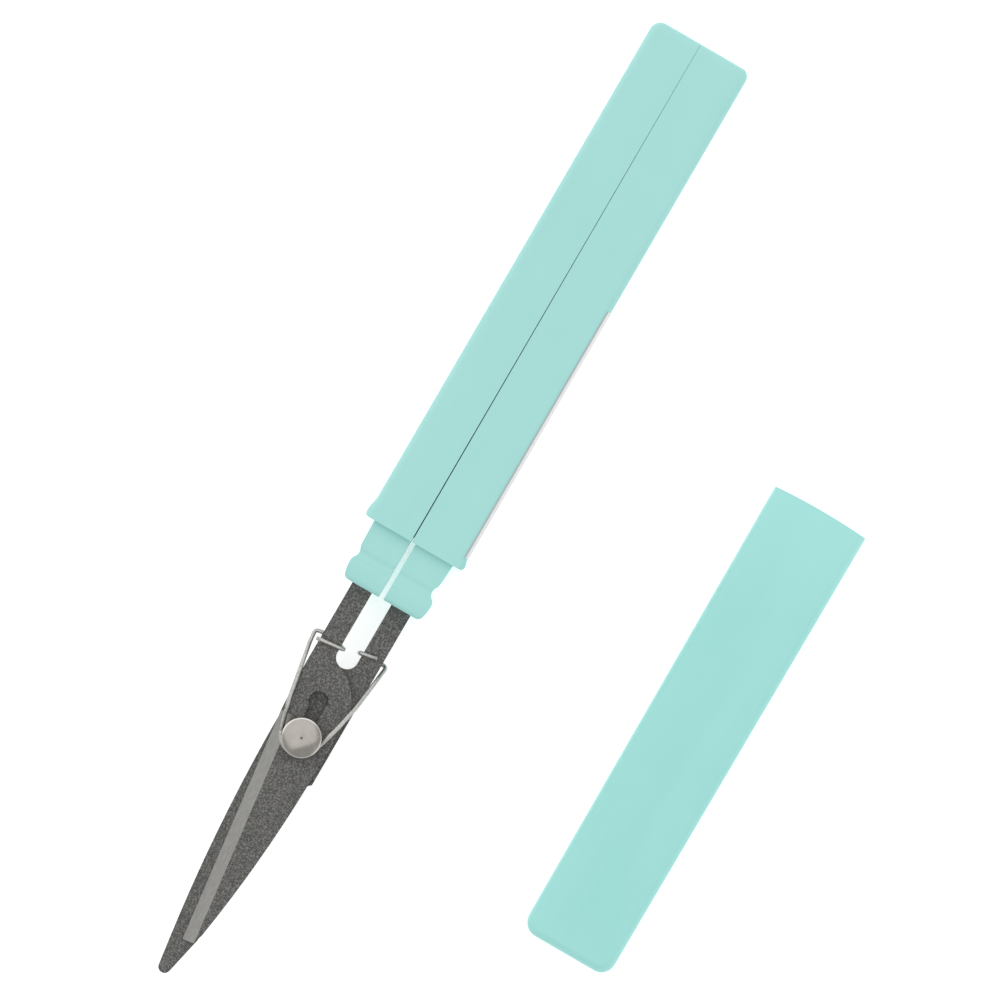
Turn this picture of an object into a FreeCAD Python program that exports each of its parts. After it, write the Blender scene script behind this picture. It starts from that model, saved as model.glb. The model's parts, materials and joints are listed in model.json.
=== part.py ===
import FreeCAD, Part
import math
import os

import Sketcher

# Thread snips with a pull-off cap, lying flat, in millimetres.
# +Z is up, +Y runs along the snips from the blade tips towards the handle end.
# The origin is on the resting plane, on the snips' long axis, under the middle of the handle.
# Inside each body of the snips, x and y are measured from the pivot axis.

os.makedirs("parts", exist_ok=True)
doc = FreeCAD.newDocument("thread_snips")
sheet = doc.addObject("Spreadsheet::Sheet", "sizes")

SIZES = [
    # where things stand
    ("pivot_y", -63.25, "pivot axis, along the snips"),
    ("cap_x", 41.34, "centre line of the loose cap, beside the snips"),
    ("cap_y", -69.86, "closed end of the loose cap"),
    # handle, both halves
    ("grip_depth", 12.0, "height of the handle as it lies"),
    ("grip_front", 27.75, "step where the neck meets the grip"),
    ("grip_end", 98.68, "rear end of the grip"),
    ("left_side", -6.85, "outer face of the left half"),
    ("left_slit_front", -0.54, "inner face of the left half, at the front"),
    ("left_slit_rear", -0.470, "inner face of the left half, at the rear end"),
    ("right_side", 6.63, "outer face of the right half"),
    ("right_slit_front", -0.40, "inner face of the right half, at the front"),
    ("right_slit_rear", -0.44, "inner face of the right half, at the rear end"),
    ("slit_middle", -0.455, "plane between the two halves"),
    ("long_round", 1.0, "rounding along the grip"),
    ("left_corner", 1.45, "rear corner of the left half, seen from above"),
    ("right_corner", 1.15, "rear corner of the right half, seen from above"),
    ("front_round", 0.60, "front corner of each half, seen from above"),
    ("front_round_in", 0.395, "how far that corner reaches across"),
    ("front_round_back", 0.564, "how far that corner reaches back"),
    ("left_lip", 0.30, "how far the left half's front lip stands out"),
    ("left_lip_rear", 2.86, "rear end of the left half's lip, behind the front face"),
    ("left_lip_ramp", 2.0, "length of the swept rise to the left lip"),
    ("left_lip_sweep", 3.4083, "radius of both curves of that rise"),
    ("right_lip", 0.23, "how far the right half's front lip stands out"),
    ("right_lip_rear", 1.58, "rear end of the right half's lip, behind the front face"),
    ("right_lip_ramp", 0.98, "length of the swept rise to the right lip"),
    ("right_lip_sweep", 1.1014, "radius of both curves of that rise"),
    # lap joint under the slit: the right half reaches into a rebate of the left half
    ("lap_start", 28.25, "front end of the lap"),
    ("lap_end", 97.25, "rear end of the lap"),
    ("lap_reach", 0.85, "how far the lap reaches past the snips' axis"),
    ("lap_depth", 0.80, "height of the lap above the bottom face"),
    ("lap_gap", 0.08, "clearance of the rebate, all round"),
    # neck that the cap goes over
    ("neck_front", 19.80, "front face of the neck"),
    ("neck_inset", 1.0, "neck below the top face and above the bottom face"),
    ("neck_corner", 0.75, "rounding round the front face of the neck"),
    ("neck_corner_y", 20.34, "where that rounding meets the bead"),
    ("bead_peak_y", 22.0, "crest of the bead"),
    ("bead_front_round", 5.70, "curve from the crest to the front rounding"),
    ("neck_ease", 1.60, "curve from the straight neck into the waist"),
    ("left_bead_round", 1.20, "curve from the crest into the waist, left side"),
    ("left_bead_foot_y", 22.78, "where that curve turns hollow"),
    ("left_waist_round", 1.05, "hollow of the waist, left side"),
    ("left_waist_end_y", 23.95, "rear end of that hollow"),
    ("left_neck_end_y", 24.60, "where the straight neck starts, left side"),
    ("left_neck_face", -4.90, "outer end of the left neck's front face"),
    ("left_neck_corner", -5.617, "left side at the front rounding"),
    ("left_neck_peak", -5.86, "left side at the crest"),
    ("left_neck_foot", -5.572, "left side where the bead turns hollow"),
    ("left_neck_waist", -5.519, "left side at the hollow's rear end"),
    ("left_neck_end", -5.658, "left side where the straight neck starts"),
    ("left_neck_root", -5.72, "left side at the grip"),
    ("right_bead_round", 1.10, "curve from the crest into the waist, right side"),
    ("right_bead_foot_y", 22.883, "where that curve turns hollow"),
    ("right_waist_round", 1.138, "hollow of the waist, right side"),
    ("right_waist_end_y", 24.35, "rear end of that hollow"),
    ("right_neck_end_y", 25.15, "where the straight neck starts, right side"),
    ("right_neck_face", 4.69, "outer end of the right neck's front face"),
    ("right_neck_corner", 5.407, "right side at the front rounding"),
    ("right_neck_peak", 5.65, "right side at the crest"),
    ("right_neck_foot", 5.206, "right side where the bead turns hollow"),
    ("right_neck_waist", 5.084, "right side at the hollow's rear end"),
    ("right_neck_end", 5.300, "right side where the straight neck starts"),
    ("right_neck_root", 5.46, "right side at the grip"),
    ("over_bead_round", 1.75, "curve from the crest into the waist, top and bottom"),
    ("over_bead_foot_y", 22.767, "where that curve turns hollow"),
    ("over_waist_round", 1.38, "hollow of the waist, top and bottom"),
    ("over_waist_end_y", 23.847, "rear end of that hollow"),
    ("over_neck_end_y", 24.394, "where the straight neck starts, top and bottom"),
    ("over_face", 0.96, "front face's edge, below the neck's level"),
    ("over_corner", 0.243, "front rounding's rear end, below the neck's level"),
    ("over_foot", 0.177, "where the bead turns hollow, below the neck's level"),
    ("over_waist", 0.2035, "hollow's rear end, below the neck's level"),
    ("over_end", 0.107, "where the straight neck starts, below the neck's level"),
    ("right_neck_slit", 0.15, "inner face of the right neck, relieved"),
    # coring of the handle halves
    ("skin", 1.3, "wall of the cored grip"),
    ("cell_start", 48.0, "first hollow cell"),
    ("cell_length", 9.0, "length of one cell"),
    ("cell_pitch", 10.0, "cell to cell, so the ribs are 1 mm"),
    ("cell_count", 5, "cells in each half"),
    # blade plates
    ("plate", 1.2, "thickness of each plate"),
    ("near_base", 6.015, "underside of the near plate"),
    ("far_base", 4.785, "underside of the far plate"),
    ("tang_end", 45.0, "end of the tangs inside the handle"),
    ("left_arm_outer", -4.24, "outer edge of the left arm"),
    ("left_arm_inner", -1.48, "inner edge of the left arm"),
    ("right_arm_outer", 4.04, "outer edge of the right arm"),
    ("right_arm_inner", 1.31, "inner edge of the right arm"),
    ("crotch_x", -0.14, "bottom of the notch between the arms"),
    ("crotch_y", 9.94, "bottom of the notch between the arms"),
    ("crotch_top", 11.34, "where the notch meets the arms"),
    ("crotch_round", 1.42, "radius of the notch"),
    ("shoulder_x", 3.70, "outer end of each plate's shoulder"),
    ("shoulder_y", 5.0, "outer end of each plate's shoulder"),
    ("shoulder_round", 6.5, "radius of the shoulders"),
    ("arm_bend_y", 6.2, "where the left arm's outer edge starts to turn in"),
    ("edge_start_x", -3.95, "upper end of the near cutting edge"),
    ("edge_start_y", 1.75, "upper end of the near cutting edge"),
    ("edge_end_x", -0.25, "lower end of the near cutting edge"),
    ("edge_end_y", -28.85, "lower end of the near cutting edge"),
    ("nose_x", 1.20, "corner of the near blade's cut-off nose"),
    ("nose_y", -28.65, "corner of the near blade's cut-off nose"),
    ("near_back_x", 1.65, "near blade's back, at the nose"),
    ("near_back_y", -27.25, "near blade's back, at the nose"),
    ("near_heel_x", 3.63, "near blade's back, at the heel"),
    ("near_heel_y", -4.70, "near blade's back, at the heel"),
    ("near_back_round", 169.0, "curve of the near blade's back"),
    ("far_heel_y", -4.45, "far plate's heel stop"),
    ("far_edge_x", 3.45, "upper end of the far cutting edge"),
    ("far_edge_y", -4.95, "upper end of the far cutting edge"),
    ("far_edge_end_x", 1.45, "lower end of the far cutting edge"),
    ("far_edge_end_y", -28.20, "lower end of the far cutting edge"),
    ("tip_right_x", 0.37, "right side of the rounded tip"),
    ("tip_left_x", -1.20, "left side of the rounded tip"),
    ("tip_y", -33.08, "where the tip's rounding starts"),
    ("tip_round", 0.80, "radius of the tip"),
    ("far_back_x", -1.68, "far blade's back, near the tip"),
    ("far_back_y", -29.60, "far blade's back, near the tip"),
    ("far_root_x", -3.82, "far blade's back, beside the pivot"),
    ("far_root_y", -1.60, "far blade's back, beside the pivot"),
    ("far_back_round", 228.0, "curve of the far blade's back"),
    ("window_x", -0.50, "centre of the near plate's window"),
    ("window_y", 4.98, "centre of the window's round end"),
    ("window_round", 1.24, "radius of the window's round end"),
    ("window_foot_y", 2.25, "lower end of the window"),
    ("window_foot_left", -1.14, "lower left corner of the window"),
    ("window_foot_right", 0.74, "lower right corner of the window"),
    ("window_neck_left", 0.75, "left meeting of round end and slot, beside its centre"),
    ("window_neck_left_drop", 0.9874, "the same, below its centre"),
    ("window_neck_right", 1.12, "right meeting of round end and slot, beside its centre"),
    ("window_neck_right_drop", 0.5321, "the same, below its centre"),
    ("grind_width", 1.55, "width of the ground strip along a cutting edge"),
    ("edge_land", 0.15, "plate left standing at a cutting edge"),
    # rivet, washer
    ("shank_radius", 1.20, "rivet shank, tight in the far plate"),
    ("near_bore", 1.25, "bore of the near plate, a running fit"),
    ("collar_radius", 1.85, "rivet collar inside the spring coil"),
    ("collar_base", 7.235, "underside of the collar"),
    ("head_base", 8.74, "underside of the head"),
    ("head_rim", 0.40, "height of the head's straight rim"),
    ("head_radius", 2.50, "radius of the head"),
    ("head_rise", 0.62, "rise of the dome above the rim"),
    ("head_round", 5.35, "radius of the dome's curve"),
    ("pip_radius", 0.16, "centre mark in the head"),
    ("pip_depth", 0.15, "depth of the centre mark"),
    ("washer_thick", 0.40, "thickness of the back washer"),
    ("washer_radius", 2.30, "outer radius of the back washer"),
    ("tail_radius", 1.85, "radius of the peened tail"),
    ("tail_rise", 0.75, "height of the peened tail"),
    ("tail_flat", 0.60, "radius of the flat that the hammer leaves"),
    ("tail_round", 1.60, "radius of the peened tail's curve"),
    # spring
    ("wire", 0.54, "diameter of the spring wire"),
    ("coil_radius", 2.22, "mean radius of the coil"),
    ("coil_base", 7.54, "wire centre at the coil's lower end"),
    ("coil_pitch", 0.60, "rise of one turn"),
    ("coil_start", 190.0, "direction where the left leg leaves the coil, degrees"),
    ("coil_sweep", 514.2, "turn of the coil from leg to leg, degrees"),
    ("coil_flare", 0.46, "how far the coil opens out to the left leg"),
    ("coil_flare_sweep", 135.0, "turn over which it opens out, degrees"),
    ("leg_run", 3.9, "straight start of the right leg"),
    ("hook_gap", 0.05, "clearance between a hook and its arm, above and below"),
    ("hook_reach", 0.44, "wire centre of a hook's bend, inside its arm's inner edge"),
    # label on the side of the right half
    ("label_start", 29.38, "front end of the label"),
    ("label_length", 35.02, "length of the label"),
    ("label_thick", 0.10, "thickness of the label"),
    ("label_top_x", 6.16, "where the label ends on the grip's rounding"),
    # cap
    ("cap_length", 63.09, "length of the cap"),
    ("cap_depth", 11.20, "height of the cap as it lies"),
    ("cap_closed_half", 6.07, "half width at the closed end"),
    ("cap_mouth_half", 6.39, "half width at the mouth"),
    ("cap_mouth_bow", 0.25, "how far the mouth's middle stands proud"),
    ("cap_corner", 1.85, "corner radius at the closed end, seen from above"),
    ("cap_round", 1.10, "rounding of the cap's long edges"),
    ("cap_wall", 0.54, "side wall at the mouth"),
    ("cap_wall_closed", 0.80, "side wall at the closed end"),
    ("cap_floor", 1.40, "thickness of the closed end"),
    ("cap_skin", 0.55, "top and bottom wall"),
    ("cap_inner_round", 0.60, "rounding of the cavity's long edges"),
]
for row, (alias, value, note) in enumerate(SIZES, start=1):
    sheet.set(f"A{row}", alias)
    sheet.set(f"B{row}", str(value))
    sheet.set(f"C{row}", note)
    sheet.setAlias(f"B{row}", alias)
doc.recompute()


def size(alias):
    """The value of one size in the sheet."""
    return float(sheet.get(alias))


def bound(expression):
    """A sum of sheet aliases and numbers, written out for setExpression, and its value now."""
    known = {alias for alias, _, _ in SIZES}
    written, total, sign = "", 0.0, 1
    for word in expression.split():
        if word in ("+", "-"):
            sign = 1 if word == "+" else -1
            written += word
        elif word in known:
            total += sign * size(word)
            written += f"<<sizes>>.{word}"
        else:
            total += sign * float(word)
            written += word
    return written, total


def new_body(name):
    """A body whose own origin is the pivot axis on the resting plane."""
    body = doc.addObject("PartDesign::Body", name)
    body.Label = name
    body.setExpression("Placement.Base.y", "<<sizes>>.pivot_y")
    return body


def origin_plane(body, role):
    """One of the body's own origin planes or axes."""
    return next(f for f in body.Origin.OriginFeatures if f.Role == role)


def new_sketch(body, name, role="XY_Plane", height=None):
    """A sketch on one of the body's planes, lifted off it by an expression."""
    sketch = body.newObject("Sketcher::SketchObject", name)
    sketch.AttachmentSupport = [(origin_plane(body, role), "")]
    sketch.MapMode = "FlatFace"
    if height:
        sketch.setExpression("AttachmentOffset.Base.z", bound(height)[0])
    return sketch


def pin_point(sketch, index, end, corner):
    """Hold one end of a curve at a corner given as two expressions."""
    for kind, expression in zip(("DistanceX", "DistanceY"), corner):
        written, value = bound(expression)
        number = sketch.addConstraint(
            Sketcher.Constraint(kind, -1, 1, index, end, value)
        )
        sketch.setExpression(f"Constraints[{number}]", written)


def arc_middle(start, finish, radius, side):
    """Middle point of the shorter arc. side is 1 if it bulges to the left, -1 to the right."""
    chord = finish - start
    along = FreeCAD.Vector(chord).normalize()
    left = FreeCAD.Vector(-along.y, along.x, 0)
    drop = math.sqrt(max(radius**2 - (chord.Length / 2) ** 2, 0))
    return start + chord * 0.5 + left * (side * (radius - drop))


def draw_outline(sketch, corners):
    """A closed outline. Each corner is (x, y) or (x, y, radius, side) with an arc to the next."""
    points = []
    for corner in corners:
        points.append(FreeCAD.Vector(bound(corner[0])[1], bound(corner[1])[1], 0))
    first = sketch.GeometryCount
    ends = []
    for n, corner in enumerate(corners):
        here, following = points[n], points[(n + 1) % len(points)]
        if len(corner) == 2:
            sketch.addGeometry(Part.LineSegment(here, following))
            ends.append((1, 2))
            continue
        radius, side = bound(corner[2])[1], corner[3]
        middle = arc_middle(here, following, radius, side)
        sketch.addGeometry(Part.Arc(here, middle, following))
        # A sketch always runs an arc anticlockwise from its end 1 to its end 2.
        ends.append((1, 2) if side < 0 else (2, 1))
    for n in range(len(corners)):
        after = (n + 1) % len(corners)
        sketch.addConstraint(
            Sketcher.Constraint(
                "Coincident", first + n, ends[n][1], first + after, ends[after][0]
            )
        )
        pin_point(sketch, first + n, ends[n][0], corners[n][:2])
        if len(corners[n]) > 2:
            written, value = bound(corners[n][2])
            number = sketch.addConstraint(
                Sketcher.Constraint("Radius", first + n, value)
            )
            sketch.setExpression(f"Constraints[{number}]", written)
    doc.recompute()
    if sketch.solve() != 0 or not sketch.FullyConstrained:
        raise RuntimeError(f"{sketch.Name} is not fully constrained")


def draw_circle(sketch, radius):
    """A circle about the sketch's own origin."""
    written, value = bound(radius)
    circle = Part.Circle(FreeCAD.Vector(0, 0, 0), FreeCAD.Vector(0, 0, 1), value)
    index = sketch.addGeometry(circle)
    sketch.addConstraint(Sketcher.Constraint("Coincident", index, 3, -1, 1))
    number = sketch.addConstraint(Sketcher.Constraint("Radius", index, value))
    sketch.setExpression(f"Constraints[{number}]", written)


def grow(body, kind, name, sketch, length, backwards=False, both_ways=False):
    """A Pad or Pocket of a sketch. A Pocket that takes nothing away is an error."""
    before = body.Shape.Volume if kind == "Pocket" else 0
    feature = body.newObject(f"PartDesign::{kind}", name)
    feature.Profile = sketch
    feature.setExpression("Length", bound(length)[0])
    feature.Reversed = backwards
    feature.Midplane = both_ways
    sketch.Visibility = False
    doc.recompute()
    if kind == "Pocket" and body.Shape.Volume > before - 1e-6:
        raise RuntimeError(f"{name} cuts nothing")
    return feature


def edges_where(shape, test):
    """Names of the edges whose middle point and direction pass a test."""
    found = []
    for number, edge in enumerate(shape.Edges, start=1):
        box = edge.BoundBox
        if test(edge, box):
            found.append(f"Edge{number}")
    return found


def round_edges(body, name, radius, test):
    """A Fillet on the edges of the body's last feature that pass a test."""
    names = edges_where(body.Tip.Shape, test)
    if not names:
        raise RuntimeError(f"{name} finds no edge")
    base = body.Tip
    feature = body.newObject("PartDesign::Fillet", name)
    feature.Base = (base, names)
    feature.setExpression("Radius", bound(radius)[0])
    base.Visibility = False
    doc.recompute()
    return feature


def near(value, wanted):
    return abs(value - wanted) < 1e-4


def is_upright(edge, box):
    return box.ZLength > 1 and box.XLength < 1e-4 and box.YLength < 1e-4


def handle_half(side):
    """One half of the handle: grip, lip, neck with its bead, tang slot and coring."""
    body = new_body(f"handle_{side}")
    outer = f"{side}_side"
    slit_front, slit_rear = f"{side}_slit_front", f"{side}_slit_rear"
    out = -1 if side == "left" else 1
    outward, inward = ("-", "+") if side == "left" else ("+", "-")
    convex, concave = -out, out

    neck_slit = slit_front if side == "left" else "right_neck_slit"
    neck = new_sketch(body, f"{side}_neck_plan", height="neck_inset")
    draw_outline(
        neck,
        [
            (neck_slit, "neck_front"),
            (f"{side}_neck_face", "neck_front", "neck_corner", convex),
            (f"{side}_neck_corner", "neck_corner_y", "bead_front_round", convex),
            (f"{side}_neck_peak", "bead_peak_y", f"{side}_bead_round", convex),
            (f"{side}_neck_foot", f"{side}_bead_foot_y", f"{side}_waist_round", concave),
            (f"{side}_neck_waist", f"{side}_waist_end_y", "neck_ease", convex),
            (f"{side}_neck_end", f"{side}_neck_end_y"),
            (f"{side}_neck_root", "grip_front"),
            (f"{side}_neck_root", "grip_front + 1"),
            (neck_slit, "grip_front + 1"),
        ],
    )
    grow(
        body, "Pad", f"{side}_neck", neck, "grip_depth - neck_inset - neck_inset"
    )

    # The same rounded front, bead and waist run over the neck's top and bottom faces.
    for face in ("top", "bottom"):
        profile = new_sketch(body, f"{side}_neck_{face}_profile", "YZ_Plane")
        if face == "top":
            root, out_of_it = "grip_depth - neck_inset", "grip_depth + 1"
            inside, bulge = "-", 1
        else:
            root, out_of_it = "neck_inset", "0 - 1"
            inside, bulge = "+", -1
        draw_outline(
            profile,
            [
                ("neck_front - 1", f"{root} {inside} over_face"),
                ("neck_front", f"{root} {inside} over_face", "neck_corner", bulge),
                (
                    "neck_corner_y",
                    f"{root} {inside} over_corner",
                    "bead_front_round",
                    bulge,
                ),
                ("bead_peak_y", root, "over_bead_round", bulge),
                (
                    "over_bead_foot_y",
                    f"{root} {inside} over_foot",
                    "over_waist_round",
                    -bulge,
                ),
                ("over_waist_end_y", f"{root} {inside} over_waist", "neck_ease", bulge),
                ("over_neck_end_y", f"{root} {inside} over_end"),
                ("grip_front", root),
                ("grip_front + 2", root),
                ("grip_front + 2", out_of_it),
                ("neck_front - 1", out_of_it),
            ],
        )
        grow(
            body,
            "Pocket",
            f"{side}_neck_{face}",
            profile,
            "grip_depth + grip_depth",
            both_ways=True,
        )

    # The grip's front end stands out in a lip that rises from the side in an S-shaped sweep.
    stand_out = f"{outer} {outward} {side}_lip"
    half_way = f"{outer} {outward} {size(f'{side}_lip') / 2:.3f}"
    half_ramp = f"{size(f'{side}_lip_ramp') / 2:.3f}"
    plan = new_sketch(body, f"{side}_grip_plan")
    draw_outline(
        plan,
        [
            (slit_front, "grip_front"),
            (stand_out, "grip_front"),
            (
                stand_out,
                f"grip_front + {side}_lip_rear - {side}_lip_ramp",
                f"{side}_lip_sweep",
                convex,
            ),
            (
                half_way,
                f"grip_front + {side}_lip_rear - {half_ramp}",
                f"{side}_lip_sweep",
                concave,
            ),
            (outer, f"grip_front + {side}_lip_rear"),
            (outer, "grip_end"),
            (slit_rear, "grip_end"),
        ],
    )
    grow(body, "Pad", f"{side}_grip", plan, "grip_depth")
    round_edges(
        body,
        f"{side}_rear_corner",
        f"{side}_corner",
        lambda e, b: is_upright(e, b)
        and near(b.XMin, size(outer))
        and near(b.YMin, size("grip_end")),
    )

    def on_outer_rim(edge, box):
        level = near(box.ZLength, 0) and (
            near(box.ZMin, 0) or near(box.ZMin, size("grip_depth"))
        )
        at_slit = box.YLength > 50 and abs(box.XMin) < 1
        at_front = near(box.YLength, 0) and near(box.YMin, size("grip_front"))
        return level and not at_slit and not at_front

    round_edges(body, f"{side}_long_round", "long_round", on_outer_rim)

    corner = new_sketch(body, f"{side}_front_corner_plan")
    draw_outline(
        corner,
        [
            (f"{stand_out} {inward} front_round_in", "grip_front", "front_round", convex),
            (stand_out, "grip_front + front_round_back"),
            (f"{stand_out} {outward} 0.5", "grip_front + front_round_back"),
            (f"{stand_out} {outward} 0.5", "grip_front - 0.5"),
            (f"{stand_out} {inward} front_round_in", "grip_front - 0.5"),
        ],
    )
    grow(
        body, "Pocket", f"{side}_front_corner", corner, "grip_depth", backwards=True
    )

    # Under the slit the right half laps into a rebate of the left half.
    lap = new_sketch(body, f"{side}_lap_plan")
    if side == "right":
        draw_outline(
            lap,
            [
                ("0 - lap_reach", "lap_start"),
                ("0", "lap_start"),
                ("0", "lap_end"),
                ("0 - lap_reach", "lap_end"),
            ],
        )
        grow(body, "Pad", "right_lap", lap, "lap_depth")
    else:
        draw_outline(
            lap,
            [
                ("0 - lap_reach - lap_gap", "lap_start - lap_gap"),
                ("0", "lap_start - lap_gap"),
                ("0", "lap_end + lap_gap"),
                ("0 - lap_reach - lap_gap", "lap_end + lap_gap"),
            ],
        )
        grow(
            body, "Pocket", "left_rebate", lap, "lap_depth + lap_gap", backwards=True
        )

    arm = "near" if side == "left" else "far"
    slot = new_sketch(body, f"{side}_tang_plan", height=f"{arm}_base")
    draw_outline(
        slot,
        [
            (f"{side}_arm_outer", "neck_front - 1"),
            (f"{side}_arm_outer", "tang_end"),
            (f"{side}_arm_inner", "tang_end"),
            (f"{side}_arm_inner", "neck_front - 1"),
        ],
    )
    grow(body, "Pocket", f"{side}_tang_slot", slot, "plate", backwards=True)

    cell = new_sketch(body, f"{side}_cell_face", "YZ_Plane", height="slit_middle")
    draw_outline(
        cell,
        [
            ("cell_start", "skin"),
            ("cell_start + cell_length", "skin"),
            ("cell_start + cell_length", "grip_depth - skin"),
            ("cell_start", "grip_depth - skin"),
        ],
    )
    if side == "left":
        depth = "slit_middle - left_side - skin"
    else:
        depth = "right_side - slit_middle - skin"
    first_cell = grow(
        body, "Pocket", f"{side}_cell", cell, depth, backwards=side == "right"
    )
    row = body.newObject("PartDesign::LinearPattern", f"{side}_cells")
    row.Originals = [first_cell]
    row.Direction = (origin_plane(body, "Y_Axis"), [""])
    row.setExpression("Length", "(<<sizes>>.cell_count - 1) * <<sizes>>.cell_pitch")
    row.setExpression("Occurrences", "<<sizes>>.cell_count")
    body.Tip = row
    doc.recompute()
    return body


def plate_bores(body, name, base, radius):
    hole = new_sketch(body, f"{name}_bore_circle", height=base)
    draw_circle(hole, radius)
    grow(body, "Pocket", f"{name}_bore", hole, "plate", backwards=True)


def grind(body, name, top, foot, side, face):
    """The ground strip along a straight cutting edge, from its top point to its foot."""
    start = FreeCAD.Vector(size(top[0]), size(top[1]), 0)
    finish = FreeCAD.Vector(size(foot[0]), size(foot[1]), 0)
    along = FreeCAD.Vector(finish - start).normalize()
    lean = math.degrees(math.atan2(along.x, -along.y))
    base = f"{body.Name[6:]}_base"
    sketch = body.newObject("Sketcher::SketchObject", f"{name}_section")
    sketch.AttachmentSupport = [(origin_plane(body, "XZ_Plane"), "")]
    sketch.MapMode = "FlatFace"
    # The sketch stands across the edge: its own x runs into the plate, its own y is up.
    turn = FreeCAD.Rotation(FreeCAD.Vector(0, 1, 0), lean)
    shift = FreeCAD.Vector(start.x, size(base), -start.y)
    sketch.AttachmentOffset = FreeCAD.Placement(shift, turn)
    into = "grind_width" if side > 0 else "0 - grind_width"
    away = "0 - 1" if side > 0 else "1"
    if face > 0:
        corners = [
            (away, "edge_land"),
            ("0", "edge_land"),
            (into, "plate"),
            (into, "plate + 1"),
            (away, "plate + 1"),
        ]
    else:
        corners = [
            (away, "plate - edge_land"),
            ("0", "plate - edge_land"),
            (into, "0"),
            (into, "0 - 1"),
            (away, "0 - 1"),
        ]
    draw_outline(sketch, corners)
    length = f"{(finish - start).Length + 3:.2f}"
    return grow(body, "Pocket", f"{name}_strip", sketch, length, backwards=True)


def blade_near():
    """The upper plate: left arm, crossing over the pivot to the right blade."""
    body = new_body("blade_near")
    plan = new_sketch(body, "near_plan", height="near_base")
    draw_outline(
        plan,
        [
            ("left_arm_outer", "tang_end"),
            ("left_arm_outer", "arm_bend_y"),
            ("edge_start_x", "edge_start_y"),
            ("edge_end_x", "edge_end_y"),
            ("nose_x", "nose_y"),
            ("near_back_x", "near_back_y", "near_back_round", -1),
            ("near_heel_x", "near_heel_y"),
            ("shoulder_x", "shoulder_y", "shoulder_round", -1),
            ("crotch_x", "crotch_y", "crotch_round", 1),
            ("left_arm_inner", "crotch_top"),
            ("left_arm_inner", "tang_end"),
        ],
    )
    grow(body, "Pad", "near_plate", plan, "plate")
    plate_bores(body, "near", "near_base", "near_bore")
    window = new_sketch(body, "near_window_plan", height="near_base")
    draw_outline(
        window,
        [
            ("window_foot_left", "window_foot_y"),
            (
                "window_x - window_neck_left",
                "window_y - window_neck_left_drop",
                "window_round",
                1,
            ),
            ("window_x", "window_y + window_round", "window_round", 1),
            ("window_x + window_neck_right", "window_y - window_neck_right_drop"),
            ("window_foot_right", "window_foot_y"),
        ],
    )
    grow(body, "Pocket", "near_window", window, "plate", backwards=True)
    grind(
        body,
        "near_grind",
        ("edge_start_x", "edge_start_y"),
        ("edge_end_x", "edge_end_y"),
        side=1,
        face=1,
    )
    return body


def blade_far():
    """The lower plate: right arm, crossing under the pivot to the left blade."""
    body = new_body("blade_far")
    plan = new_sketch(body, "far_plan", height="far_base")
    draw_outline(
        plan,
        [
            ("right_arm_outer", "tang_end"),
            ("right_arm_outer", "far_heel_y"),
            ("far_edge_x", "far_edge_y"),
            ("far_edge_end_x", "far_edge_end_y"),
            ("tip_right_x", "tip_y", "tip_round", 1),
            ("tip_left_x", "tip_y"),
            ("far_back_x", "far_back_y", "far_back_round", 1),
            ("far_root_x", "far_root_y"),
            ("crotch_x - shoulder_x", "shoulder_y", "shoulder_round", 1),
            ("crotch_x", "crotch_y", "crotch_round", -1),
            ("right_arm_inner", "crotch_top"),
            ("right_arm_inner", "tang_end"),
        ],
    )
    grow(body, "Pad", "far_plate", plan, "plate")
    plate_bores(body, "far", "far_base", "shank_radius")
    grind(
        body,
        "far_grind",
        ("far_edge_x", "far_edge_y"),
        ("far_edge_end_x", "far_edge_end_y"),
        side=-1,
        face=-1,
    )
    return body


def pivot_rivet():
    """Domed head, collar inside the coil, shank and peened tail, turned about the pivot."""
    body = new_body("pivot_rivet")
    tail_top = "far_base - washer_thick"
    profile = new_sketch(body, "rivet_profile", "XZ_Plane")
    draw_outline(
        profile,
        [
            ("0", f"{tail_top} - tail_rise"),
            ("tail_flat", f"{tail_top} - tail_rise", "tail_round", -1),
            ("tail_radius", tail_top),
            ("shank_radius", tail_top),
            ("shank_radius", "collar_base"),
            ("collar_radius", "collar_base"),
            ("collar_radius", "head_base"),
            ("head_radius", "head_base"),
            ("head_radius", "head_base + head_rim", "head_round", -1),
            ("pip_radius", "head_base + head_rim + head_rise"),
            ("pip_radius", "head_base + head_rim + head_rise - pip_depth"),
            ("0", "head_base + head_rim + head_rise - pip_depth"),
        ],
    )
    turned = body.newObject("PartDesign::Revolution", "rivet_turned")
    turned.Profile = profile
    turned.ReferenceAxis = (profile, ["V_Axis"])
    turned.Angle = 360
    profile.Visibility = False
    doc.recompute()
    return body


def back_washer():
    """A flat ring between the far plate and the peened tail."""
    body = new_body("back_washer")
    ring = new_sketch(body, "washer_rings", height="far_base - washer_thick")
    draw_circle(ring, "washer_radius")
    draw_circle(ring, "shank_radius")
    grow(body, "Pad", "washer_pad", ring, "washer_thick")
    return body


def bent_wire(points, bends):
    """Straight runs through the points, with an arc of the given radius at each inner point."""
    edges = []
    here = points[0]
    for n in range(1, len(points) - 1):
        corner = points[n]
        back = FreeCAD.Vector(points[n - 1] - corner).normalize()
        ahead = FreeCAD.Vector(points[n + 1] - corner).normalize()
        opening = back.getAngle(ahead)
        reach = bends[n - 1] / math.tan(opening / 2)
        middle = FreeCAD.Vector(back + ahead).normalize()
        to_centre = bends[n - 1] / math.sin(opening / 2)
        arc_start = corner + back * reach
        arc_end = corner + ahead * reach
        arc_middle = corner + middle * (to_centre - bends[n - 1])
        edges.append(Part.LineSegment(here, arc_start).toShape())
        edges.append(Part.Arc(arc_start, arc_middle, arc_end).toShape())
        here = arc_end
    edges.append(Part.LineSegment(here, points[-1]).toShape())
    return edges


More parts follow.
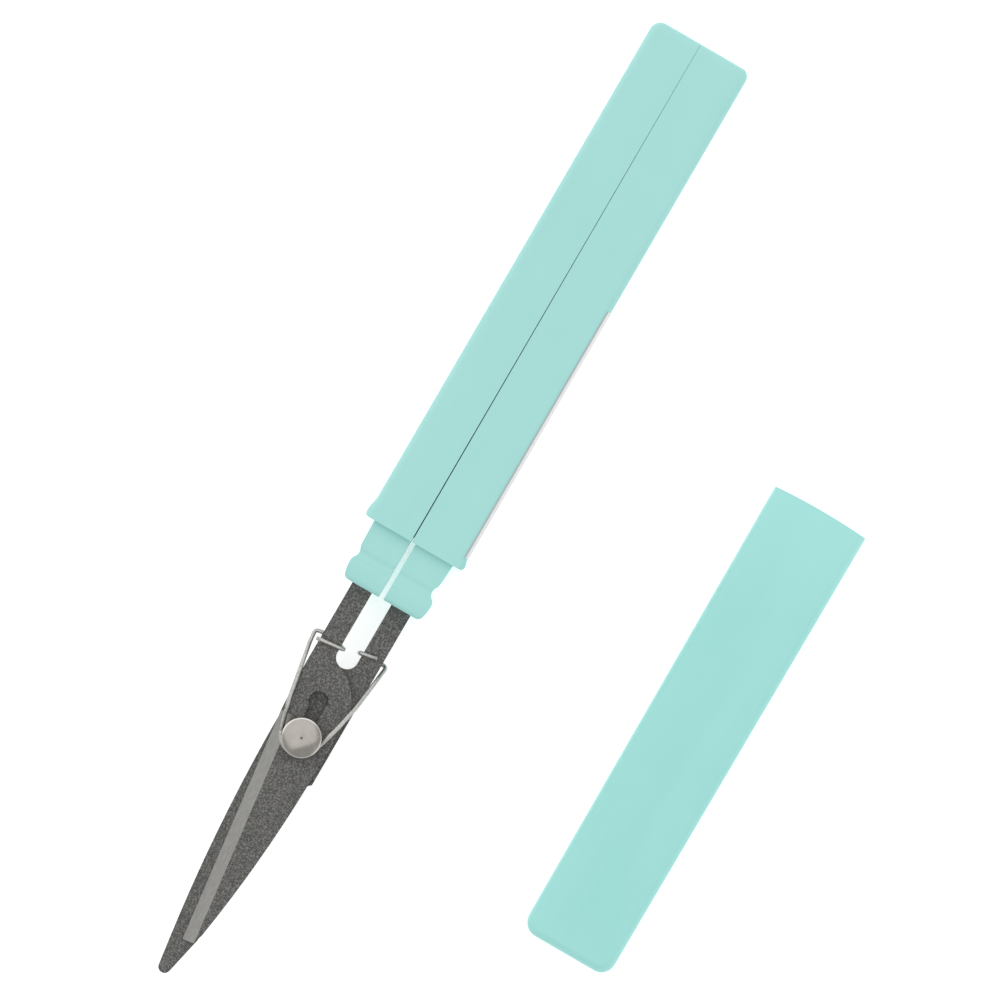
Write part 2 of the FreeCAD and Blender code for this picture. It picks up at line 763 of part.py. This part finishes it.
def opening_spring():
    """Round wire: a coil round the rivet collar, and a leg hooked round each arm."""
    radius, base = size("coil_radius"), size("coil_base")
    start, sweep = size("coil_start"), size("coil_sweep")
    rise = size("coil_pitch") * sweep / 360

    def on_coil(share):
        """A point of the coil, which climbs most steeply half way along."""
        angle = math.radians(start + sweep * share)
        climb = share - math.sin(2 * math.pi * share) / (2 * math.pi)
        to_flare = max(0.0, 1 - share * sweep / size("coil_flare_sweep"))
        reach = radius + size("coil_flare") * to_flare**2
        return FreeCAD.Vector(
            reach * math.cos(angle), reach * math.sin(angle), base + rise * climb
        )

    steps = 40
    coil = Part.BSplineCurve()
    coil.interpolate(Points=[on_coil(n / steps) for n in range(steps + 1)])
    off_coil = coil.tangent(coil.LastParameter)[0]

    # Each leg comes off the coil, runs beside its arm and down past it, then under it,
    # round its inner edge and back over it.
    over_left = size("near_base") + size("plate") + size("wire") / 2 + size("hook_gap")
    under_left = size("near_base") - size("wire") / 2 - size("hook_gap")
    over_right = size("far_base") + size("plate") + size("wire") / 2 + size("hook_gap")
    under_right = size("far_base") - size("wire") / 2 - size("hook_gap")
    left_bend_x = size("left_arm_inner") + size("hook_reach")
    right_bend_x = size("right_arm_inner") - size("hook_reach")
    left_leg = [
        FreeCAD.Vector(-4.66, 11.59, over_left),
        FreeCAD.Vector(left_bend_x, 12.02, over_left),
        FreeCAD.Vector(left_bend_x, 12.10, under_left),
        FreeCAD.Vector(-4.10, 12.58, under_left),
        FreeCAD.Vector(-5.26, 12.42, under_left),
        FreeCAD.Vector(-5.10, 10.80, 6.35),
        FreeCAD.Vector(-4.63, 8.20, over_left),
        FreeCAD.Vector(-3.80, 3.60, over_left),
        on_coil(0),
    ]
    left_bends = [0.45, 0.45, 1.0, 0.45, 3.0, 6.0, 9.0]
    right_leg = [
        on_coil(1),
        on_coil(1) + off_coil * size("leg_run"),
        FreeCAD.Vector(3.93, 6.60, 7.66),
        FreeCAD.Vector(4.46, 10.80, 6.25),
        FreeCAD.Vector(4.68, 12.80, under_right),
        FreeCAD.Vector(right_bend_x, 12.60, under_right),
        FreeCAD.Vector(right_bend_x, 12.68, over_right),
        FreeCAD.Vector(3.16, 13.16, over_right),
    ]
    right_bends = [9.0, 6.0, 3.0, 0.5, 0.45, 0.45]
    edges = bent_wire(left_leg, left_bends)
    edges.append(coil.toShape())
    edges += bent_wire(right_leg, right_bends)
    path = Part.Wire(edges)
    facing = left_leg[1] - left_leg[0]
    section = Part.Wire([Part.makeCircle(size("wire") / 2, left_leg[0], facing)])
    spring = doc.addObject("Part::Feature", "opening_spring")
    spring.Label = "opening_spring"
    spring.Shape = path.makePipe(Part.Face(section))
    spring.setExpression("Placement.Base.y", "<<sizes>>.pivot_y")
    return spring


def side_label():
    """A thin blank sticker on the right half's side, lapping onto its rounded edges."""
    body = new_body("side_label")
    reach = (size("label_top_x") - size("right_side") + size("long_round")) / size("long_round")
    angle = math.acos(reach)
    inner, outer = size("long_round"), size("long_round") + size("label_thick")
    up_in, up_out = f"{inner * math.sin(angle):.4f}", f"{outer * math.sin(angle):.4f}"
    x_in, x_out = f"{inner * reach:.4f}", f"{outer * reach:.4f}"
    centre_x = "right_side - long_round"
    low, high = "long_round", "grip_depth - long_round"
    section = new_sketch(body, "label_section", "XZ_Plane", height="0 - label_start")
    draw_outline(
        section,
        [
            (f"{centre_x} + {x_in}", f"{high} + {up_in}", "long_round", 1),
            ("right_side", high),
            ("right_side", low, "long_round", 1),
            (f"{centre_x} + {x_in}", f"{low} - {up_in}"),
            (f"{centre_x} + {x_out}", f"{low} - {up_out}", "long_round + label_thick", -1),
            ("right_side + label_thick", low),
            ("right_side + label_thick", high, "long_round + label_thick", -1),
            (f"{centre_x} + {x_out}", f"{high} + {up_out}"),
        ],
    )
    grow(body, "Pad", "label_pad", section, "label_length", backwards=True)
    return body


def cap():
    """The pull-off cap: closed at its low-y end, open at its mouth."""
    body = doc.addObject("PartDesign::Body", "cap")
    body.Label = "cap"
    body.setExpression("Placement.Base.x", "<<sizes>>.cap_x")
    body.setExpression("Placement.Base.y", "<<sizes>>.cap_y")
    plan = new_sketch(body, "cap_plan")
    bow = (size("cap_mouth_half") ** 2 + size("cap_mouth_bow") ** 2) / (2 * size("cap_mouth_bow"))
    draw_outline(
        plan,
        [
            ("0 - cap_closed_half", "0"),
            ("cap_closed_half", "0"),
            ("cap_mouth_half", "cap_length - cap_mouth_bow", f"{bow:.4f}", -1),
            ("0 - cap_mouth_half", "cap_length - cap_mouth_bow"),
        ],
    )
    grow(body, "Pad", "cap_block", plan, "cap_depth")
    round_edges(
        body,
        "cap_corners",
        "cap_corner",
        lambda e, b: is_upright(e, b) and near(b.YMin, 0),
    )

    def on_long_rim(edge, box):
        level = near(box.ZLength, 0)
        at_mouth = box.YMin > size("cap_length") - size("cap_mouth_bow") - 0.01
        return level and not at_mouth

    round_edges(body, "cap_long_round", "cap_round", on_long_rim)
    hollow = new_sketch(body, "cap_hollow_plan", height="cap_skin")
    draw_outline(
        hollow,
        [
            ("0 - cap_closed_half + cap_wall_closed", "cap_floor"),
            ("cap_closed_half - cap_wall_closed", "cap_floor"),
            ("cap_mouth_half - cap_wall", "cap_length + 1"),
            ("0 - cap_mouth_half + cap_wall", "cap_length + 1"),
        ],
    )
    grow(
        body,
        "Pocket",
        "cap_hollow",
        hollow,
        "cap_depth - cap_skin - cap_skin",
        backwards=True,
    )

    def on_hollow_edge(edge, box):
        inside = box.ZMin > size("cap_skin") - 0.01
        inside = inside and box.ZMax < size("cap_depth") - size("cap_skin") + 0.01
        within = box.XMin > -size("cap_mouth_half") + 0.2 and box.XMax < size("cap_mouth_half") - 0.2
        at_mouth = box.YMin > size("cap_length") - 1
        return inside and within and not at_mouth

    round_edges(body, "cap_hollow_round", "cap_inner_round", on_hollow_edge)
    return body


PARTS = [
    handle_half("left"),
    handle_half("right"),
    blade_near(),
    blade_far(),
    pivot_rivet(),
    back_washer(),
    opening_spring(),
    side_label(),
    cap(),
]
doc.recompute()

for item in doc.Objects:
    if "Invalid" in item.State or "Error" in item.State:
        raise RuntimeError(f"{item.Name} did not build")
for part in PARTS:
    shape = part.Shape
    if shape.isNull() or not shape.isValid():
        raise RuntimeError(f"{part.Label} has no sound shape")
    shape.exportStep(f"parts/{part.Label}.step")
    box = shape.BoundBox
    print(
        f"{part.Label}: {len(shape.Solids)} solid, {shape.Volume:.2f} mm3, "
        f"x {box.XMin:.2f} {box.XMax:.2f}, y {box.YMin:.2f} {box.YMax:.2f}, "
        f"z {box.ZMin:.2f} {box.ZMax:.2f}"
    )
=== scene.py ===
import json
import math

import bpy
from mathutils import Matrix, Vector


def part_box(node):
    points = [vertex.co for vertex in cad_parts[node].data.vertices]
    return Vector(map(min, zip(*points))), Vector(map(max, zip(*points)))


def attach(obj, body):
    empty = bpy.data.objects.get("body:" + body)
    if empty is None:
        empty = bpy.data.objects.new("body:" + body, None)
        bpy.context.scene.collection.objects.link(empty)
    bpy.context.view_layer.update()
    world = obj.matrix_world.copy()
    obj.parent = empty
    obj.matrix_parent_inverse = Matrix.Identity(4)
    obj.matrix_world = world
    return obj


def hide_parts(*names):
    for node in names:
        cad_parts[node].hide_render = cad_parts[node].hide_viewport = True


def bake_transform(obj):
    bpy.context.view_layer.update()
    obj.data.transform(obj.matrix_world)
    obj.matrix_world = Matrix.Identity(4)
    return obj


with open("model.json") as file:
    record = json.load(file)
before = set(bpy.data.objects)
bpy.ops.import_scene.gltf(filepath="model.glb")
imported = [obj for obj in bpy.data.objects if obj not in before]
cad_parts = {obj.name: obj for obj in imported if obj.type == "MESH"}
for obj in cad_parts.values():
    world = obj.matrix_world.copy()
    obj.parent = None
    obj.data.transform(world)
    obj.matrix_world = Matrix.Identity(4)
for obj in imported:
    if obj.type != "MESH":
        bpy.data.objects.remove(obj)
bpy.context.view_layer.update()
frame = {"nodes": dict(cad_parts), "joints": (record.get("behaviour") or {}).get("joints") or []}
MM = 0.001

pivot = Vector(next(j["pos_m"] for j in frame["joints"] if j["name"] == "blade_pivot"))


# ---------------------------------------------------------------- shader helpers

class Shader:
    """A node material built step by step around one Principled BSDF."""

    def __init__(self, name, **settings):
        self.material = bpy.data.materials.new(name)
        self.material.use_nodes = True
        tree = self.material.node_tree
        self.nodes, self.links = tree.nodes, tree.links
        self.surface = self.nodes["Principled BSDF"]
        for socket, value in settings.items():
            self.surface.inputs[socket.replace("_", " ")].default_value = value
        place = self.nodes.new("ShaderNodeTexCoord")
        self.place = place.outputs["Object"]
        self.normal = place.outputs["Normal"]
        self.bump_normal = None

    def link(self, source, target):
        self.links.new(source, target)

    def stretched(self, scale, turn=0.0):
        """Object coordinates scaled by a vector and turned, for grain that runs one way."""
        node = self.nodes.new("ShaderNodeMapping")
        node.inputs["Scale"].default_value = scale
        node.inputs["Rotation"].default_value = (0, 0, turn)
        self.link(self.place, node.inputs["Vector"])
        return node.outputs["Vector"]

    def noise(self, scale, detail, roughness, where=None):
        node = self.nodes.new("ShaderNodeTexNoise")
        node.inputs["Scale"].default_value = scale
        node.inputs["Detail"].default_value = detail
        node.inputs["Roughness"].default_value = roughness
        self.link(where or self.place, node.inputs["Vector"])
        return node.outputs["Fac"]

    def cells(self, scale):
        """Distance to the nearest of many scattered points."""
        node = self.nodes.new("ShaderNodeTexVoronoi")
        node.inputs["Scale"].default_value = scale
        self.link(self.place, node.inputs["Vector"])
        return node.outputs["Distance"]

    def ramp(self, value, stops):
        """A colour or grey ramp; each stop is (position, colour or grey)."""
        node = self.nodes.new("ShaderNodeValToRGB")
        elements = node.color_ramp.elements
        while len(elements) < len(stops):
            elements.new(0.5)
        for element, (position, colour) in zip(elements, stops):
            element.position = position
            grey = isinstance(colour, (int, float))
            element.color = (colour,) * 3 + (1,) if grey else (*colour, 1)
        self.link(value, node.inputs["Fac"])
        return node.outputs["Color"]

    def math(self, operation, first, second=None):
        node = self.nodes.new("ShaderNodeMath")
        node.operation = operation
        for n, value in enumerate((first, second)):
            if value is None:
                continue
            if isinstance(value, (int, float)):
                node.inputs[n].default_value = value
            else:
                self.link(value, node.inputs[n])
        return node.outputs[0]

    def mix(self, share, first, second):
        """first where share is 0, second where it is 1. Colours may be tuples."""
        node = self.nodes.new("ShaderNodeMix")
        node.data_type = "RGBA"
        for socket, value in ((0, share), (6, first), (7, second)):
            if isinstance(value, (int, float)):
                node.inputs[socket].default_value = value
            elif isinstance(value, tuple):
                node.inputs[socket].default_value = (*value, 1)
            else:
                self.link(value, node.inputs[socket])
        return node.outputs[2]

    def axis(self, vector, index):
        """The x, y or z of a vector: index 0, 1 or 2."""
        node = self.nodes.new("ShaderNodeSeparateXYZ")
        self.link(vector, node.inputs[0])
        return node.outputs[index]

    def between(self, value, start, finish, low=0.0, high=1.0):
        """low up to start, high from finish on, and a straight rise between them."""
        node = self.nodes.new("ShaderNodeMapRange")
        node.clamp = True
        settings = (start, finish, low, high)
        for n, number in enumerate(settings, start=1):
            node.inputs[n].default_value = number
        self.link(value, node.inputs[0])
        return node.outputs[0]

    def bump(self, height, strength, distance):
        """Adds a bump on top of the ones before it."""
        node = self.nodes.new("ShaderNodeBump")
        node.inputs["Strength"].default_value = strength
        node.inputs["Distance"].default_value = distance
        self.link(height, node.inputs["Height"])
        if self.bump_normal is not None:
            self.link(self.bump_normal, node.inputs["Normal"])
        self.bump_normal = node.outputs["Normal"]

    def finish(self, colour, roughness=None, metallic=None):
        self.link(colour, self.surface.inputs["Base Color"])
        if roughness is not None:
            self.link(roughness, self.surface.inputs["Roughness"])
        if metallic is not None:
            self.link(metallic, self.surface.inputs["Metallic"])
        if self.bump_normal is not None:
            self.link(self.bump_normal, self.surface.inputs["Normal"])
        return self.material


# ---------------------------------------------------------------- materials

def moulded_plastic(name, colour, deep, pale, painted_light_from=None, painted_light_to=None):
    """Satin moulded plastic: flow marks, fine pebble, scuffs and, if asked, an end painted paler
    as painted light.
    """
    s = Shader(name, IOR=1.48, Specular_IOR_Level=0.45, Coat_Weight=0.05, Coat_Roughness=0.3)
    clouds = s.noise(90, 4, 0.6)
    flow = s.noise(1.0, 3, 0.5, s.stretched((260, 26, 260)))
    tone = s.mix(s.between(clouds, 0.3, 0.7), deep, colour)
    tone = s.mix(s.between(flow, 0.35, 0.75, 0.0, 0.35), tone, pale)
    # Painted light: the colour turns paler towards the given end, as if more light fell there.
    if painted_light_from is not None:
        along = s.axis(s.place, 1)
        tone = s.mix(s.between(along, painted_light_from, painted_light_to, 0.0, 0.7), tone, pale)
    pebble = s.noise(5200, 2, 0.5)
    waves = s.noise(140, 2, 0.4)
    scratches = s.noise(1.0, 2, 0.6, s.stretched((4200, 160, 4200), 0.25))
    s.bump(waves, 0.25, 0.06 * MM)
    s.bump(pebble, 0.22, 0.02 * MM)
    s.bump(s.ramp(scratches, [(0.0, 0.0), (0.67, 0.0), (0.72, 1.0)]), 0.05, 0.01 * MM)
    rough = s.between(s.noise(420, 4, 0.65), 0.25, 0.75, 0.44, 0.56)
    return s.finish(tone, rough)


def coated_blade(name):
    """Dark speckled non-stick coating, and bare steel where the plate slopes at the grind."""
    s = Shader(name, IOR=1.45)
    grain = s.noise(5600, 2, 0.6)
    patches = s.noise(1500, 4, 0.7)
    flecks = s.cells(5200)
    dark, body = (0.048, 0.048, 0.045), (0.086, 0.084, 0.079)
    light, fleck = (0.200, 0.197, 0.187), (0.26, 0.256, 0.243)
    coat = s.mix(s.between(patches, 0.35, 0.65, 0.35, 1.0), dark, body)
    coat = s.mix(s.between(grain, 0.46, 0.66), coat, light)
    coat = s.mix(s.between(grain, 0.30, 0.44, 0.8, 0.0), coat, dark)
    coat = s.mix(s.between(flecks, 0.0, 0.28, 0.40, 0.0), coat, fleck)
    grinding = s.noise(1.0, 3, 0.7, s.stretched((5200, 900, 5200), 0.12))
    steel = s.mix(s.between(grinding, 0.3, 0.7), (0.245, 0.243, 0.231), (0.33, 0.326, 0.31))
    # Neither the plate's faces, whose normal's z is 1, nor its cut edges, where it is 0.
    upward = s.math("ABSOLUTE", s.axis(s.normal, 2))
    not_edge = s.between(upward, 0.60, 0.66)
    not_face = s.between(upward, 0.90, 0.95, 1.0, 0.0)
    sloped = s.math("MULTIPLY", not_edge, not_face)
    colour = s.mix(sloped, coat, steel)
    rough = s.mix(sloped, s.ramp(grain, [(0.3, 0.62), (0.7, 0.42)]), (0.38, 0.38, 0.38))
    metal = s.between(sloped, 0.0, 1.0, 0.15, 0.60)
    s.bump(grain, 0.45, 0.03 * MM)
    s.bump(patches, 0.25, 0.03 * MM)
    return s.finish(colour, rough, metal)


def polished_steel(name):
    """The rivet: polished, with a painted highlight on its rim, a painted dark reflection at its
    centre and faint turning rings.
    """
    s = Shader(name, Metallic=1.0)
    rim, dark_reflection_radius = 2.40 * MM, 0.12 * MM
    rings = s.nodes.new("ShaderNodeTexWave")
    rings.wave_type, rings.rings_direction = "RINGS", "Z"
    rings.inputs["Scale"].default_value = 1600
    rings.inputs["Distortion"].default_value = 1.2
    move = s.nodes.new("ShaderNodeMapping")
    move.inputs["Location"].default_value = (-pivot.x, -pivot.y, 0)
    s.link(s.place, move.inputs["Vector"])
    s.link(move.outputs["Vector"], rings.inputs["Vector"])
    smudge = s.noise(900, 4, 0.6)
    tone = s.mix(s.between(smudge, 0.3, 0.7), (0.345, 0.325, 0.297), (0.41, 0.388, 0.357))
    east = s.math("SUBTRACT", s.axis(s.place, 0), pivot.x)
    north = s.math("SUBTRACT", s.axis(s.place, 1), pivot.y)
    squares = s.math("ADD", s.math("MULTIPLY", east, east), s.math("MULTIPLY", north, north))
    radius = s.math("SQRT", squares)
    # Painted highlight: a pale band round the rim of the dome. Painted reflection: a dark spot
    # at its centre.
    painted_rim_highlight = s.between(radius, rim - 0.08 * MM, rim)
    painted_centre_reflection = s.between(radius, dark_reflection_radius, dark_reflection_radius + 0.09 * MM, 1.0, 0.0)
    tone = s.mix(painted_rim_highlight, tone, (0.66, 0.64, 0.60))
    tone = s.mix(painted_centre_reflection, tone, (0.12, 0.11, 0.10))
    rough = s.between(smudge, 0.3, 0.75, 0.17, 0.26)
    s.bump(rings.outputs["Fac"], 0.05, 0.01 * MM)
    s.bump(s.noise(1300, 3, 0.5), 0.12, 0.04 * MM)
    return s.finish(tone, rough)


def drawn_wire(name):
    """Bright spring wire with fine die lines."""
    s = Shader(name, Metallic=1.0)
    lines = s.noise(4200, 3, 0.7)
    tone = s.mix(s.between(lines, 0.3, 0.7), (0.34, 0.333, 0.315), (0.58, 0.57, 0.545))
    rough = s.between(lines, 0.3, 0.7, 0.26, 0.42)
    s.bump(lines, 0.35, 0.01 * MM)
    return s.finish(tone, rough)


def blank_paper(name):
    """Coated off-white label stock, with painted shade as a thin grey line along its two long
    edges.
    """
    s = Shader(name, IOR=1.45)
    fibres = s.noise(3800, 4, 0.7)
    tone = s.mix(s.between(fibres, 0.3, 0.7), (0.78, 0.755, 0.765), (0.88, 0.86, 0.865))
    (_, _, bottom), (_, _, top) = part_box("side_label")
    middle, half = (bottom + top) / 2, (top - bottom) / 2
    from_middle = s.math("ABSOLUTE", s.math("SUBTRACT", s.axis(s.place, 2), middle))
    # Painted shade: a thin grey band along the label's two long edges, where it meets the grip.
    painted_edge_shade = s.between(from_middle, half - 0.12 * MM, half - 0.07 * MM)
    tone = s.mix(painted_edge_shade, tone, (0.50, 0.475, 0.485))
    rough = s.between(s.noise(700, 3, 0.6), 0.3, 0.7, 0.42, 0.58)
    s.bump(fibres, 0.2, 0.01 * MM)
    return s.finish(tone, rough)


def pale_floor(name):
    """The plain white table, faintly mottled, glowing a little so that it comes out white."""
    s = Shader(name, Roughness=0.8, Emission_Color=(1, 1, 1, 1), Emission_Strength=0.45)
    tone = s.mix(s.noise(30, 3, 0.5), (0.93, 0.93, 0.93), (0.955, 0.955, 0.955))
    return s.finish(tone)


handle_plastic = moulded_plastic(
    "handle_plastic", (0.365, 0.700, 0.665), (0.350, 0.688, 0.650), (0.400, 0.728, 0.695)
)
mouth_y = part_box("cap")[1][1]
# The cap gets painted light: it is painted paler over the last 14 mm towards its mouth.
cap_plastic = moulded_plastic(
    "cap_plastic",
    (0.340, 0.715, 0.672),
    (0.325, 0.702, 0.657),
    (0.380, 0.765, 0.725),
    painted_light_from=mouth_y - 14 * MM,
    painted_light_to=mouth_y,
)
blade_coating = coated_blade("coated_blade")
rivet_steel = polished_steel("rivet_steel")
spring_steel = drawn_wire("spring_wire")
label_paper = blank_paper("label_paper")


def dress(node, material, edge, segments=3):
    """Gives a CAD node its material and rounds its sharp edges a little."""
    piece = frame["nodes"][node]
    for slot in piece.material_slots:
        slot.material = material
    soften = piece.modifiers.new("soft_edges", "BEVEL")
    soften.width = edge
    soften.segments = segments
    soften.limit_method = "ANGLE"
    soften.angle_limit = math.radians(35)
    soften.harden_normals = True


dress("handle_left", handle_plastic, 0.05 * MM, 2)
dress("handle_right", handle_plastic, 0.05 * MM, 2)
dress("cap", cap_plastic, 0.15 * MM)
dress("blade_near", blade_coating, 0.07 * MM, 2)
dress("blade_far", blade_coating, 0.07 * MM, 2)
dress("pivot_rivet", rivet_steel, 0.08 * MM)
dress("back_washer", rivet_steel, 0.05 * MM)
dress("side_label", label_paper, 0.02 * MM, 2)


# ---------------------------------------------------------------- opening spring

# The wire in three lengths: the leg on the left arm rides on that half, the leg on the right
# arm on the other, and the coil between them stays fixed; on the real snips it winds up as they
# open.
WIRE = 0.54 * MM
COIL_RADIUS = 2.22 * MM
COIL_START, COIL_SWEEP = math.radians(190.0), math.radians(514.2)
COIL_FLARE, COIL_FLARE_SWEEP = 0.46 * MM, math.radians(135)
COIL_BASE, COIL_PITCH = 7.54 * MM, 0.60 * MM
COIL_RISE = COIL_PITCH * COIL_SWEEP / (2 * math.pi)
COIL_STEPS = 96
LEG_RUN = 3.9 * MM
HOOK_GAP = 0.05 * MM


def on_coil(share):
    """A point of the coil, from its left leg at 0 to its right leg at 1."""
    angle = COIL_START + COIL_SWEEP * share
    climb = share - math.sin(2 * math.pi * share) / (2 * math.pi)
    to_flare = max(0.0, 1 - share * COIL_SWEEP / COIL_FLARE_SWEEP)
    reach = COIL_RADIUS + COIL_FLARE * to_flare**2
    return Vector((
        pivot.x + reach * math.cos(angle),
        pivot.y + reach * math.sin(angle),
        COIL_BASE + COIL_RISE * climb,
    ))


def at_pivot(x, y, z):
    """A point given in millimetres from the pivot axis and above the table."""
    return Vector((pivot.x + x * MM, pivot.y + y * MM, z * MM))


def bent_route(points, bends):
    """Points along straight runs joined by arcs, close together in the arcs."""
    longest_step, sharpest_turn = 0.09 * MM, 0.2
    route = [points[0]]
    for n in range(1, len(points) - 1):
        corner, radius = points[n], bends[n - 1] * MM
        back = (points[n - 1] - corner).normalized()
        ahead = (points[n + 1] - corner).normalized()
        opening = back.angle(ahead)
        reach = radius / math.tan(opening / 2)
        centre_line = (back + ahead).normalized()
        centre = corner + centre_line * (radius / math.sin(opening / 2))
        first, last = corner + back * reach - centre, corner + ahead * reach - centre
        turn = math.pi - opening
        by_length = math.ceil(turn * radius / longest_step)
        pieces = max(2, by_length, math.ceil(turn / sharpest_turn))
        for k in range(pieces + 1):
            share = k / pieces
            one = math.sin((1 - share) * turn) / math.sin(turn)
            other = math.sin(share * turn) / math.sin(turn)
            route.append(centre + first * one + last * other)
    route.append(points[-1])
    return route


def wire_piece(name, route, dressed_ends):
    """A round wire along a route; a dressed end is cut square with its rim broken."""
    sides, broken = 14, 0.09 * MM
    stations = [(p, WIRE / 2) for p in route]
    if dressed_ends[0]:
        away = (route[0] - route[1]).normalized()
        stations[0:1] = [(route[0], WIRE / 2 - broken), (route[0] - away * broken, WIRE / 2)]
    if dressed_ends[1]:
        away = (route[-1] - route[-2]).normalized()
        stations[-1:] = [(route[-1] - away * broken, WIRE / 2), (route[-1], WIRE / 2 - broken)]
    verts, faces = [], []
    across = None
    for n, (point, radius) in enumerate(stations):
        before, after = stations[max(n - 1, 0)][0], stations[min(n + 1, len(stations) - 1)][0]
        along = (after - before).normalized()
        if across is None:
            across = along.orthogonal().normalized()
        across = (across - along * across.dot(along)).normalized()
        up = along.cross(across)
        for k in range(sides):
            angle = 2 * math.pi * k / sides
            verts.append(point + (across * math.cos(angle) + up * math.sin(angle)) * radius)
    for n in range(len(stations) - 1):
        for k in range(sides):
            a, b = n * sides + k, n * sides + (k + 1) % sides
            faces.append((a, b, b + sides, a + sides))
    faces.append(tuple(reversed(range(sides))))
    faces.append(tuple(range(len(verts) - sides, len(verts))))
    mesh = bpy.data.meshes.new(name)
    mesh.from_pydata(verts, [], faces)
    for face in mesh.polygons:
        face.use_smooth = len(face.vertices) == 4
    mesh.validate()
    piece = bpy.data.objects.new(name, mesh)
    bpy.context.collection.objects.link(piece)
    piece.data.materials.append(spring_steel)
    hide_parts("opening_spring")
    return piece


def make_spring():
    """Two legs that ride on their arms, and the coil that winds between them."""
    near_low, near_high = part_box("blade_near")
    far_low, far_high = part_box("blade_far")
    gap = (WIRE / 2 + HOOK_GAP) / MM
    over_left, under_left = near_high[2] / MM + gap, near_low[2] / MM - gap
    over_right, under_right = far_high[2] / MM + gap, far_low[2] / MM - gap
    # The direction in which the wire leaves the coil for the right leg.
    off_coil = (on_coil(1) - on_coil(0.9999)).normalized()
    left_leg = [
        at_pivot(-4.66, 11.59, over_left),
        at_pivot(-1.04, 12.02, over_left),
        at_pivot(-1.04, 12.10, under_left),
        at_pivot(-4.10, 12.58, under_left),
        at_pivot(-5.26, 12.42, under_left),
        at_pivot(-5.10, 10.80, 6.35),
        at_pivot(-4.63, 8.20, over_left),
        at_pivot(-3.80, 3.60, over_left),
        on_coil(0),
    ]
    right_leg = [
        on_coil(1),
        on_coil(1) + off_coil * LEG_RUN,
        at_pivot(3.93, 6.60, 7.66),
        at_pivot(4.46, 10.80, 6.25),
        at_pivot(4.68, 12.80, under_right),
        at_pivot(0.87, 12.60, under_right),
        at_pivot(0.87, 12.68, over_right),
        at_pivot(3.16, 13.16, over_right),
    ]
    left_route = bent_route(left_leg, [0.45, 0.45, 1.0, 0.45, 3.0, 6.0, 9.0])
    right_route = bent_route(right_leg, [9.0, 6.0, 3.0, 0.5, 0.45, 0.45])
    coil_route = [on_coil(n / COIL_STEPS) for n in range(COIL_STEPS + 1)]
    left = wire_piece("spring_left_leg", left_route, dressed_ends=(True, False))
    right = wire_piece("spring_right_leg", right_route, dressed_ends=(False, True))
    coil = wire_piece("spring_coil", coil_route, dressed_ends=(False, False))
    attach(left, "left_half")
    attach(right, "right_half")
    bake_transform(coil)


make_spring()


# ---------------------------------------------------------------- floor, light, camera

def make_floor():
    mesh = bpy.data.meshes.new("floor")
    half, level = 3.0, -0.02 * MM
    corners = [(-half, -half), (half, -half), (half, half), (-half, half)]
    mesh.from_pydata([(x, y, level) for x, y in corners], [], [(0, 1, 2, 3)])
    floor = bpy.data.objects.new("floor", mesh)
    bpy.context.collection.objects.link(floor)
    floor.data.materials.append(pale_floor("floor_white"))


# The middle of the picture, between the snips and the cap.
VIEW_CENTRE = Vector((0.006387, -0.02557, 0.0))


def soft_light(name, place, width, power):
    """A square area light that faces the middle of the picture."""
    lamp = bpy.data.lights.new(name, "AREA")
    lamp.shape, lamp.size = "SQUARE", width
    lamp.energy = power
    holder = bpy.data.objects.new(name, lamp)
    holder.location = place
    facing = VIEW_CENTRE - Vector(place)
    holder.rotation_euler = facing.to_track_quat("-Z", "Y").to_euler()
    bpy.context.collection.objects.link(holder)


make_floor()
soft_light("key", (-0.25, 0.22, 0.95), width=2.0, power=8.2)
soft_light("left_box", (-0.95, 0.10, 0.28), width=0.8, power=0.8)
soft_light("right_box", (0.95, -0.10, 0.28), width=0.8, power=1.5)
world = bpy.data.worlds.new("studio")
world.use_nodes = True
background = world.node_tree.nodes["Background"]
background.inputs["Color"].default_value = (1, 1, 1, 1)
background.inputs["Strength"].default_value = 0.61
bpy.context.scene.world = world
bpy.context.scene.view_settings.view_transform = "Standard"

# The camera looks straight down, turned about its axis, from far off so that depth hardly shows.
ROLL = math.radians(30.2)
VIEW_WIDTH = 0.1233
VIEW_DISTANCE = 2.5
VIEW_LEVEL = 0.009
SENSOR = 36
camera = bpy.data.cameras.new("camera")
camera.sensor_width = SENSOR
camera.lens = SENSOR * VIEW_DISTANCE / VIEW_WIDTH
camera.clip_start, camera.clip_end = 0.05, 10
eye = bpy.data.objects.new("camera", camera)
eye.location = (VIEW_CENTRE.x, VIEW_CENTRE.y, VIEW_LEVEL + VIEW_DISTANCE)
eye.rotation_euler = (0, 0, ROLL)
bpy.context.collection.objects.link(eye)
bpy.context.scene.camera = eye
